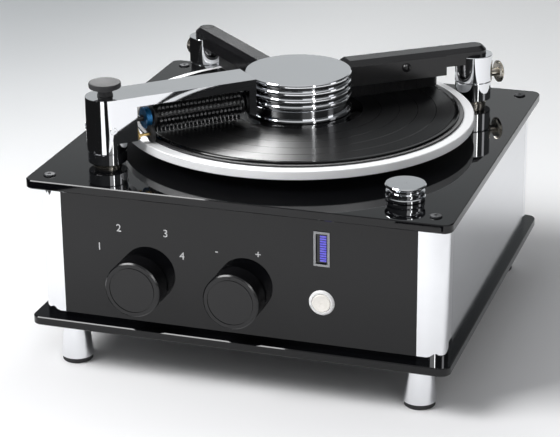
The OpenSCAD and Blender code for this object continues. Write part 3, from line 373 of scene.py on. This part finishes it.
plain = {
    "rubber": {"colour": (0.012, 0.012, 0.013), "dark": (0.022, 0.022, 0.023), "rough": 0.6},
    "matRubber": {"colour": (0.009, 0.009, 0.010), "dark": (0.018, 0.018, 0.019), "rough": 0.5},
    "armBlack": {"colour": (0.006, 0.006, 0.0068), "dark": (0.010, 0.010, 0.011), "rough": 0.13,
                 "height": 0.000004},
    "knobBlack": {"colour": (0.004, 0.004, 0.0046), "dark": (0.007, 0.007, 0.008), "rough": 0.14,
                  "specular": 0.42, "height": 0.000004},
    "hosePlastic": {"colour": (0.05, 0.052, 0.056), "dark": (0.03, 0.031, 0.034), "rough": 0.45},
    "tankPlastic": {"colour": (0.66, 0.67, 0.63), "dark": (0.55, 0.56, 0.52), "rough": 0.4},
    "switchPlastic": {"colour": (0.03, 0.05, 0.08), "dark": (0.02, 0.03, 0.05), "rough": 0.4},
    "blackPlastic": {"colour": (0.014, 0.014, 0.015), "dark": (0.024, 0.024, 0.025), "rough": 0.38},
    "motorPaint": {"colour": (0.16, 0.17, 0.18), "dark": (0.10, 0.105, 0.11), "rough": 0.35, "metallic": 0.6},
    "windingWrap": {"colour": (0.34, 0.16, 0.07), "dark": (0.22, 0.10, 0.045), "rough": 0.3},
    "ringBlue": {"colour": (0.018, 0.17, 0.40), "dark": (0.014, 0.13, 0.32), "rough": 0.2, "metallic": 0.5},
    "ringWhite": {"colour": (0.88, 0.88, 0.88), "dark": (0.80, 0.80, 0.80), "rough": 0.3, "metallic": 0.1},
    "lockBlack": {"colour": (0.030, 0.030, 0.032), "dark": (0.040, 0.040, 0.042), "rough": 0.5,
                  "specular": 0.25},
    "buttonCream": {"colour": (0.90, 0.87, 0.82), "dark": (0.85, 0.815, 0.76), "rough": 0.3},
    "displayLens": {"colour": (0.004, 0.004, 0.008), "dark": (0.007, 0.007, 0.012), "rough": 0.08},
    "labelGrey": {"colour": (0.58, 0.585, 0.59), "dark": (0.50, 0.505, 0.51), "rough": 0.5},
}

metals = {
    "sideSatin": {"colour": (0.74, 0.75, 0.77), "dark": (0.68, 0.69, 0.71), "rough": 0.10, "depth": 0.12,
                  "grainRough": 0.05},
    "satinSteel": {"colour": (0.50, 0.51, 0.53), "dark": (0.36, 0.37, 0.39), "rough": 0.26},
    "nickel": {"colour": (0.70, 0.66, 0.58), "dark": (0.52, 0.48, 0.42), "rough": 0.14},
    "brass": {"colour": (0.72, 0.50, 0.20), "dark": (0.50, 0.33, 0.12), "rough": 0.2},
    "bezelSteel": {"colour": (0.34, 0.345, 0.355), "dark": (0.26, 0.265, 0.27), "rough": 0.3},
    "darkSteel": {"colour": (0.035, 0.036, 0.038), "dark": (0.02, 0.021, 0.023), "rough": 0.42},
    "platterRim": {"colour": (0.90, 0.905, 0.915), "dark": (0.83, 0.84, 0.85), "rough": 0.36, "rings": 1800,
                   "depth": 0.2, "metallic": 0.12},
    "clampTurned": {"colour": (0.80, 0.81, 0.83), "dark": (0.68, 0.69, 0.71), "rough": 0.035, "rings": 2400,
                    "depth": 0.15},
}

looks = {key: makeMoulded(key, values) for key, values in plain.items()}
looks["acrylic"] = makeAcrylic()
looks["chrome"] = makeChrome("polishedChrome")
looks["armChrome"] = makeChrome("armChrome", (0.05, 1, 1), brushHub, brushTurn)
looks["sideSatin"] = makeBrushed("sideSatin", metals["sideSatin"], (1, 0.02, 1))
looks["satinSteel"] = makeBrushed("satinSteel", metals["satinSteel"], (1, 1, 0.1))
looks["darkSteel"] = makeBrushed("darkSteel", metals["darkSteel"])
looks["bezelSteel"] = makeBrushed("bezelSteel", metals["bezelSteel"], (1, 1, 0.1))
looks["nickel"] = makeBrushed("nickel", metals["nickel"], (1, 1, 0.1))
looks["brass"] = makeBrushed("brass", metals["brass"], (1, 0.1, 1))
looks["platterRim"] = makeTurned("platterRim", metals["platterRim"], platterCentre)
looks["clampTurned"] = makeTurned("clampTurned", metals["clampTurned"], platterCentre)
looks["capTurned"] = makeTurned("capTurned", metals["clampTurned"], middle("filler_cap"))
looks["vinyl"] = makeVinyl()
looks["bristle"] = makeBristle()
looks["tuftTipHighlight"] = makeTuftTipHighlight()
looks["felt"] = makeFelt()
looks["litBlue"] = makeLitBlue()
looks["board"] = makeCircuit()

dressed = {
    "acrylic": "top_plate bottom_plate front_panel rear_panel",
    "sideSatin": "side_panels",
    "bezelSteel": "display_bezel",
    "ringWhite": "start_ring",
    "lockBlack": "lock_knob",
    "chrome": "corner_posts brush_set_screws brush_collar vacuum_collar fluid_collar vacuum_hub fluid_hub "
              "feet",
    "armChrome": "brush_arm",
    "darkSteel": "plate_screws",
    "rubber": "foot_pads drive_belt idler_wheel",
    "satinSteel": "bearing_housing platter_shaft motor_pulley drain_fitting",
    "motorPaint": "drive_motor vacuum_turbine",
    "hosePlastic": "suction_hose fluid_pump",
    "tankPlastic": "waste_tank fluid_tank",
    "windingWrap": "power_supply",
    "board": "control_board",
    "switchPlastic": "panel_switches",
    "displayLens": "display_bar",
    "blackPlastic": "filler_neck mains_inlet mains_rocker roller_core vacuum_nozzle",
    "nickel": "arm_posts vacuum_thumbscrew fluid_thumbscrew",
    "platterRim": "platter",
    "matRubber": "platter_mat",
    "vinyl": "record",
    "clampTurned": "clamp_body clamp_base",
    "bristle": "roller_bristles fluid_bristles",
    "ringBlue": "drive_ring",
    "brass": "idler_lever",
    "knobBlack": "selector_knob power_knob",
    "armBlack": "vacuum_arm fluid_arm fluid_plate",
    "felt": "vacuum_felt",
    "buttonCream": "start_button",
    "capTurned": "filler_cap",
}

for key, names in dressed.items():
    for name in names.split():
        nodes[name].data.materials.clear()
        nodes[name].data.materials.append(looks[key])
bare = [name for name, node in nodes.items() if node.data.materials[0] not in looks.values()]
print("stage: finishes made, nodes left bare:", bare)


# Pieces

def finishPiece(name, mesh, materials, body, smooth=False, stands=()):
    for material in materials:
        mesh.materials.append(material)
    if smooth:
        mesh.shade_smooth()
    else:
        mesh.shade_flat()
    piece = bpy.data.objects.new(name, mesh)
    bpy.context.scene.collection.objects.link(piece)
    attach(piece, body)
    if stands:
        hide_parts(*stands)
    return piece


def storeMesh(name, bm):
    mesh = bpy.data.meshes.new(name)
    bm.to_mesh(mesh)
    bm.free()
    return mesh


def toMesh(name, bm):  # with every face turned outwards
    bmesh.ops.recalc_face_normals(bm, faces=bm.faces)
    return storeMesh(name, bm)


def addCopy(bm, shape, place):
    copy = shape.copy()
    copy.transform(place)
    bm.from_mesh(copy)
    bpy.data.meshes.remove(copy)


def roundedBar(length, width, height, rounding):
    bm = bmesh.new()
    bmesh.ops.create_cube(bm, size=1)
    bmesh.ops.scale(bm, verts=bm.verts, vec=(length, width, height))
    bmesh.ops.bevel(bm, geom=bm.edges[:], offset=rounding, segments=2, affect="EDGES", profile=0.5,
                    material=-1)
    return bm


# Printed marks round the two dials: plain numbers, and a minus and a plus. A place counts across from the
# machine's middle and up from the top plate's upper face, in millimetres
marks = {
    "size": 9.88 * mm, "thick": 0.06 * mm, "bolder": 0.09 * mm,
    "places": [("1", -128.3, -60.0), ("2", -109.0, -40.4), ("3", -64.7, -40.6), ("4", -49.6, -60.2),
               ("-", -17.2, -51.3), ("+", 21.2, -50.5)],
}


def printMark(mark, across, up):
    curve = bpy.data.curves.new("mark", "FONT")
    curve.body = mark
    curve.size = marks["size"]
    curve.align_x = "CENTER"
    curve.align_y = "CENTER"
    curve.extrude = marks["thick"] / 2
    curve.offset = marks["bolder"]
    holder = bpy.data.objects.new("mark", curve)
    bpy.context.scene.collection.objects.link(holder)
    bpy.context.view_layer.update()
    mesh = bpy.data.meshes.new_from_object(holder)
    bpy.data.objects.remove(holder)
    spot = Vector((across * mm, panelFace, plateTop + up * mm))
    mesh.transform(Matrix.Translation(spot) @ Matrix.Rotation(math.pi / 2, 4, "X"))
    return mesh


def makeMarks():
    bm = bmesh.new()
    for mark, across, up in marks["places"]:
        printed = printMark(mark, across, up)
        bm.from_mesh(printed)
        bpy.data.meshes.remove(printed)
    return toMesh("printedMarks", bm)


finishPiece("printedMarks", makeMarks(), [looks["labelGrey"]], "chassis")


# Lit segments of the bar display
segments = {"count": 11, "width": 5.7 * mm, "gap": 0.7 * mm, "proud": 0.5 * mm, "offset": 1.0 * mm,
            "border": 1.5 * mm, "rounding": 0.15 * mm}


def makeSegments():
    low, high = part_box("display_bar")
    pitch = (high.z - low.z - 2 * segments["border"]) / segments["count"]
    shape = toMesh("segment", roundedBar(segments["width"], 2 * segments["proud"], pitch - segments["gap"],
                                         segments["rounding"]))
    across = (low.x + high.x) / 2 + segments["offset"]
    bm = bmesh.new()
    for i in range(segments["count"]):
        up = low.z + segments["border"] + (i + 0.5) * pitch
        addCopy(bm, shape, Matrix.Translation((across, low.y, up)))
    return toMesh("litSegments", bm)


finishPiece("litSegments", makeSegments(), [looks["litBlue"]], "chassis")
print("stage: marks and display done")


# Strands stand in bundles or rows. Each one is a four sided cone, and their lengths differ a little
strandTaper = 0.85
goldenAngle = 2.39996  # spreads the strands evenly over a bundle
upright = Vector((0, 0, 1))


def growStrand(bm, foot, lean, length, thickness):
    made = bmesh.ops.create_cone(bm, cap_ends=True, segments=4, radius1=thickness,
                                 radius2=thickness * strandTaper, depth=length)
    for vert in made["verts"]:
        share = vert.co.z / length + 0.5
        vert.co += foot + lean * share + upright * (length / 2)


def spanAlong(node, start, direction):
    reaches = [(vert.co - start).dot(direction) for vert in nodes[node].data.vertices]
    return min(reaches), max(reaches)


def axesFor(along, outward):
    return Matrix((along, outward.cross(along), outward)).transposed().to_4x4()


# Roller tufts: bundles in rows along the sleeve, each row shifted by half a pitch. The ends of the strands,
# from a share of their
# length on, have a paler finish: a painted highlight for the light on the tips
roller = {"rows": 16, "rowTufts": 21, "strands": 14, "bundle": 1.1 * mm, "strand": 0.3 * mm, "spread": 0.25,
          "sleeve": 7.4 * mm, "sunk": 0.3 * mm, "kinds": 5, "uneven": 0.04, "highlightFrom": 0.9}


def makeTuft(length, rng):
    bm = bmesh.new()
    for i in range(roller["strands"]):
        ring = math.sqrt((i + 0.5) / roller["strands"]) * roller["bundle"]
        angle = i * goldenAngle
        foot = Vector((ring * math.cos(angle), ring * math.sin(angle), 0))
        growStrand(bm, foot, foot * roller["spread"], length * (1 - rng.random() * roller["uneven"]),
                   roller["strand"])
    for face in bm.faces:
        face.material_index = 1 if face.calc_center_median().z > length * roller["highlightFrom"] else 0
    return toMesh("tuft", bm)


def makeRollerTufts():
    rng = random.Random(4)
    axis = Vector((math.cos(brushTurn), math.sin(brushTurn), 0))
    start = Vector((brushHub.x, brushHub.y, middle("drive_ring").z))
    near, far = spanAlong("roller_bristles", start, axis)
    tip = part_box("roller_bristles")[1].z - start.z
    root = roller["sleeve"] - roller["sunk"]
    kinds = [makeTuft(tip - root, rng) for i in range(roller["kinds"])]
    bm = bmesh.new()
    bmesh.ops.create_cone(bm, cap_ends=True, segments=48, radius1=roller["sleeve"], radius2=roller["sleeve"],
                          depth=far - near, matrix=axesFor(upright, axis))
    bmesh.ops.translate(bm, verts=bm.verts, vec=start + axis * (near + far) / 2)
    pitch = (far - near) / (roller["rowTufts"] + 0.5)
    for row in range(roller["rows"]):
        angle = 2 * math.pi * row / roller["rows"]
        outward = upright * math.cos(angle) + axis.cross(upright) * math.sin(angle)
        for i in range(roller["rowTufts"]):
            along = (i + 0.5 + 0.5 * (row % 2)) * pitch
            spot = start + axis * (near + along) + outward * root
            addCopy(bm, rng.choice(kinds), Matrix.Translation(spot) @ axesFor(axis, outward))
    return storeMesh("rollerTufts", bm)


finishPiece("rollerTufts", makeRollerTufts(), [looks["bristle"], looks["tuftTipHighlight"]], "roller",
            stands=["roller_bristles"])

# Fluid brush: a close strip of strands under a backing bar
fluidBrush = {"rows": 9, "pitch": 0.95 * mm, "strand": 0.36 * mm, "back": 2.4 * mm, "rounding": 0.3 * mm,
              "wander": 0.35 * mm, "uneven": 0.4 * mm, "endMargin": 1.0 * mm, "sideMargin": 0.6 * mm,
              "gather": 0.8}


def makeFluidBrush():
    rng = random.Random(7)
    axis = Vector((math.cos(fluidTurn), math.sin(fluidTurn), 0))
    across = Vector((-axis.y, axis.x, 0))
    start = Vector((fluidHub.x, fluidHub.y, 0))
    near, far = spanAlong("fluid_bristles", start, axis)
    left, right = spanAlong("fluid_bristles", start, across)
    low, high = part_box("fluid_bristles")
    bm = roundedBar(far - near, right - left, fluidBrush["back"], fluidBrush["rounding"])
    bmesh.ops.translate(bm, verts=bm.verts, vec=(0, 0, high.z - low.z - fluidBrush["back"] / 2))
    count = int((far - near - 2 * fluidBrush["endMargin"]) / fluidBrush["pitch"])
    width = right - left - 2 * fluidBrush["sideMargin"]
    length = high.z - low.z - fluidBrush["back"] / 2
    for row in range(fluidBrush["rows"]):
        for i in range(count):
            foot = Vector(((i + 0.5 - count / 2 + 0.5 * (row % 2)) * fluidBrush["pitch"],
                           ((row + 0.5) / fluidBrush["rows"] - 0.5) * width, 0))
            wander = Vector((rng.uniform(-1, 1), rng.uniform(-1, 1), 0)) * fluidBrush["wander"]
            short = rng.random() * fluidBrush["uneven"]
            growStrand(bm, foot + wander + upright * short, wander * -fluidBrush["gather"], length - short,
                       fluidBrush["strand"])
    mesh = toMesh("fluidStrands", bm)
    centre = start + axis * (near + far) / 2 + across * (left + right) / 2 + upright * low.z
    mesh.transform(Matrix.Translation(centre) @ axesFor(axis, upright))
    return mesh


finishPiece("fluidStrands", makeFluidBrush(), [looks["bristle"]], "fluid_arm",
            stands=["fluid_bristles"])
print("stage: brushes done")


# Lock knob: a thick disc on a waisted stem. The profile is radius and depth under its top, in millimetres
lockKnob = {
    "steps": 96, "sharp": 32.0, "merge": 0.001 * mm,
    "profile": [(0, 20.6), (3, 20.6), (3, 12.6), (7.1, 12.6), (7.1, 11.6), (6.6, 10.6), (6.6, 6.6),
                (7.4, 6.0), (12.8, 5.7), (14.0, 5.1), (14.5, 4.2), (14.5, 0.9), (14.2, 0.3), (13.5, 0.0),
                (12.2, 0.0), (11.0, 0.25), (5, 0.85), (0, 0.95)],
}


def makeLockKnob():
    bm = bmesh.new()
    line = [bm.verts.new((r * mm, 0, -depth * mm)) for r, depth in lockKnob["profile"]]
    edges = [bm.edges.new(pair) for pair in zip(line, line[1:])]
    bmesh.ops.spin(bm, geom=line + edges, cent=(0, 0, 0), axis=(0, 0, 1), dvec=(0, 0, 0),
                   angle=2 * math.pi, steps=lockKnob["steps"], use_merge=True)
    bmesh.ops.remove_doubles(bm, verts=bm.verts, dist=lockKnob["merge"])
    centre = middle("lock_knob")
    bmesh.ops.translate(bm, verts=bm.verts, vec=(centre.x, centre.y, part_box("lock_knob")[1].z))
    return toMesh("lockKnob", bm)


knob = finishPiece("lockKnob", makeLockKnob(), [looks["lockBlack"]], "lock_knob", smooth=True,
                   stands=["lock_knob"])
knob.data.set_sharp_from_angle(angle=math.radians(lockKnob["sharp"]))
print("stage: lock knob done")


# Floor: its colour carries painted shade, darker at the back and paler to the front along the slope, and
# darkest at the back left.
# Where the camera or a shiny surface sees it, it also has a painted glow, except close to the machine
floorLook = {
    # The left, back and front colours are painted shade, standing in for the fall of the light over the floor
    "size": 12, "left": (0.54, 0.565, 0.58), "back": (0.90, 0.915, 0.92), "front": (0.88, 0.88, 0.89),
    "leftEdge": (-0.75, -0.15), "slope": (0.35, -0.9), "slopeEdge": (-1.4, 0.35), "waver": 0.1,
    "glow": 0.34, "footprint": (0.195, 0.19), "glowEdge": (0.0, 0.3),
}


def addStage(name, mesh):
    thing = bpy.data.objects.new(name, mesh)
    bpy.context.scene.collection.objects.link(thing)
    return thing


def makeFloor():
    bm = bmesh.new()
    bmesh.ops.create_grid(bm, x_segments=1, y_segments=1, size=floorLook["size"])
    mesh = storeMesh("studioFloor", bm)
    look = newMaterial("paleFloor")
    spot = look.place()
    x, y = [look.node("SeparateXYZ", None, {0: spot}, i) for i in range(2)]
    along = x * floorLook["slope"][0] + y * floorLook["slope"][1]
    waver = look.noise(spot, 3, 3) * floorLook["waver"]
    paintedLightShare = look.between(along + waver, *floorLook["slopeEdge"])
    # Painted shade: the floor's colour is darker towards the back and the back left
    paintedBackShade = look.mix(look.between(x, *floorLook["leftEdge"]), floorLook["left"], floorLook["back"])
    shade = look.mix(paintedLightShare, paintedBackShade, floorLook["front"])
    past = [(reach.maths("ABSOLUTE") - half).maths("MAXIMUM", 0.0)
            for reach, half in zip((x, y), floorLook["footprint"])]
    away = look.radius(look.node("CombineXYZ", None, {"X": past[0], "Y": past[1]}))
    glowShare = look.between(away, *floorLook["glowEdge"]) * paintedLightShare * floorLook["glow"]
    diffuse = look.node("BsdfDiffuse", None, {"Color": shade})
    glow = look.node("Emission", None, {"Color": look.mix(glowShare, (0, 0, 0), shade), "Strength": 1.0})
    noGlow = look.node("Emission", None, {"Color": (0, 0, 0), "Strength": 0.0})
    seenGlow = look.node("MixShader", None, {0: look.seenDirectly(), 1: noGlow, 2: glow})
    mesh.materials.append(look.output(look.node("AddShader", None, {0: diffuse, 1: seenGlow})))
    addStage("studioFloor", mesh)


makeFloor()


# World: plain light for the object, and a room for what is seen in it, bright to the rear and overhead only.
# The room's shades go from the horizon to straight up
room = {
    "light": (0.27, 0.273, 0.277),
    "shades": [(0.0, (0.72, 0.74, 0.75)), (0.33, (0.58, 0.60, 0.61)), (0.37, (0.38, 0.40, 0.41)),
               (0.42, (0.20, 0.21, 0.22)), (0.52, (0.10, 0.105, 0.11)), (0.68, (0.30, 0.31, 0.32)),
               (0.85, (0.60, 0.61, 0.62)), (1.0, (0.66, 0.67, 0.68))],
    "open": (-0.3135, 0.9496), "openEdge": (0.60, 0.86), "closed": 0.18, "overhead": (0.55, 0.75),
    "leftEdge": (0.1, 0.7), "leftDarker": 0.45,
}


def makeWorld():
    world = bpy.data.worlds.new("studio")
    bpy.context.scene.world = world
    look = Shading(world)
    way = look.node("TexCoord", out="Generated")
    x, y, z = [look.node("SeparateXYZ", None, {0: way}, i) for i in range(3)]
    shades = look.node("ValToRGB", {"stops": room["shades"]}, {"Fac": z})
    toward = x * room["open"][0] + y * room["open"][1]
    sides = look.between(toward, *room["openEdge"]) * (1 - room["closed"]) + room["closed"]
    share = sides.maths("MAXIMUM", look.between(z, *room["overhead"]))
    leftShare = 1 - look.between(0 - x, *room["leftEdge"]) * room["leftDarker"]
    seen = look.node("VectorMath", {"operation": "SCALE"}, {0: shades, "Scale": share * leftShare})
    colour = look.mix(look.seenDirectly(), room["light"], seen)
    back = look.node("Background", None, {"Color": colour, "Strength": 1.0})
    look.output(back, "OutputWorld")


makeWorld()

# Boards round the machine that only its shiny surfaces see: corner points in metres, and a shade
boards = {
    "leftBoard": ([(-0.20, -0.68, 0.001), (-0.33, -0.63, 0.001), (-0.47, -0.52, 0.001),
                   (-0.60, -0.33, 0.001), (-0.64, -0.13, 0.001), (-0.62, 0.10, 0.001),
                   (-0.48, 0.46, 0.001), (-0.34, 0.66, 0.001), (-0.30, 0.95, 0.001),
                   (-1.5, 1.2, 0.001), (-1.5, -1.5, 0.001), (-0.26, -1.5, 0.001)], 0.010),
    "frontBoard": ([(0.03, -0.62, 0.001), (0.26, -0.62, 0.001), (0.34, -1.1, 0.001),
                    (0.08, -1.1, 0.001)], 0.010),
    "rightGlow": ([(1.1, -0.02, 0.28), (1.1, 0.24, 0.28), (1.1, 0.24, 0.75), (1.1, -0.02, 0.75)], 1.6),
}


def makeStudioBoard(name, corners, shade):
    bm = bmesh.new()
    bm.faces.new([bm.verts.new(corner) for corner in corners])
    mesh = storeMesh(name, bm)
    look = newMaterial(name)
    mesh.materials.append(look.output(look.node("Emission", None, {
        "Color": (shade, shade, shade * 1.03), "Strength": 1.0})))
    board = addStage(name, mesh)
    board.visible_camera = False
    board.visible_diffuse = False
    board.visible_shadow = False


for name, (corners, shade) in boards.items():
    makeStudioBoard(name, corners, shade)


def areaLight(name, spot, size, power, shineOnly=False):
    lamp = bpy.data.lights.new(name, "AREA")
    lamp.shape = "RECTANGLE"
    lamp.size, lamp.size_y = size
    lamp.energy = power
    holder = bpy.data.objects.new(name, lamp)
    holder.location = spot
    holder.rotation_mode = "QUATERNION"
    holder.rotation_quaternion = (Vector(lampAim) - Vector(spot)).to_track_quat("-Z", "Y")
    holder.visible_diffuse = not shineOnly
    bpy.context.scene.collection.objects.link(holder)


lampAim = (0, 0, 0.15)

# The two strips show only in shiny surfaces: one as the fan on the record, one as the line down the clamp
lamps = {
    "keyLight": {"spot": (-1.5, -1.15, 2.1), "size": (1.3, 1.3), "power": 75.0},
    "fillLight": {"spot": (1.4, -1.6, 1.5), "size": (1.2, 1.2), "power": 6.0},
    "rearStrip": {"spot": (-0.62, 1.2, 1.5), "size": (0.35, 1.0), "power": 44.0, "shineOnly": True},
    "sideStrip": {"spot": (1.94, -1.56, 0.95), "size": (0.13, 1.8), "power": 12.0, "shineOnly": True},
}

for name, lamp in lamps.items():
    areaLight(name, **lamp)

# Camera, solved from the plates' corners. Directions are in degrees, lens and sensor in millimetres, and the
# target and distance in metres. The target counts from the middle of the top plate's upper front edge
shot = {"azimuth": 18.27, "elevation": 21.51, "roll": -0.58, "lens": 130.81, "distance": 1.71068,
        "target": (0.05266, -0.02368, 0.0), "sensor": 36, "clip": (0.05, 60)}


def makeCamera():
    az, el, roll = (math.radians(shot[k]) for k in ("azimuth", "elevation", "roll"))
    back = Vector((math.sin(az) * math.cos(el), -math.cos(az) * math.cos(el), math.sin(el)))
    right = Vector((math.cos(az), math.sin(az), 0))
    up = back.cross(right)
    across = right * math.cos(roll) + up * math.sin(roll)
    upward = up * math.cos(roll) - right * math.sin(roll)
    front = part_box("top_plate")[0].y
    target = Vector(shot["target"]) + Vector((0, front, plateTop))
    data = bpy.data.cameras.new("photoCamera")
    data.lens = shot["lens"]
    data.sensor_width = shot["sensor"]
    data.clip_start, data.clip_end = shot["clip"]
    camera = bpy.data.objects.new("photoCamera", data)
    camera.matrix_world = Matrix.Translation(target + back * shot["distance"]) @ Matrix(
        (across, upward, back)).transposed().to_4x4()
    bpy.context.scene.collection.objects.link(camera)
    bpy.context.scene.camera = camera


makeCamera()
bpy.context.scene.view_settings.view_transform = "Standard"
print("stage: studio done")
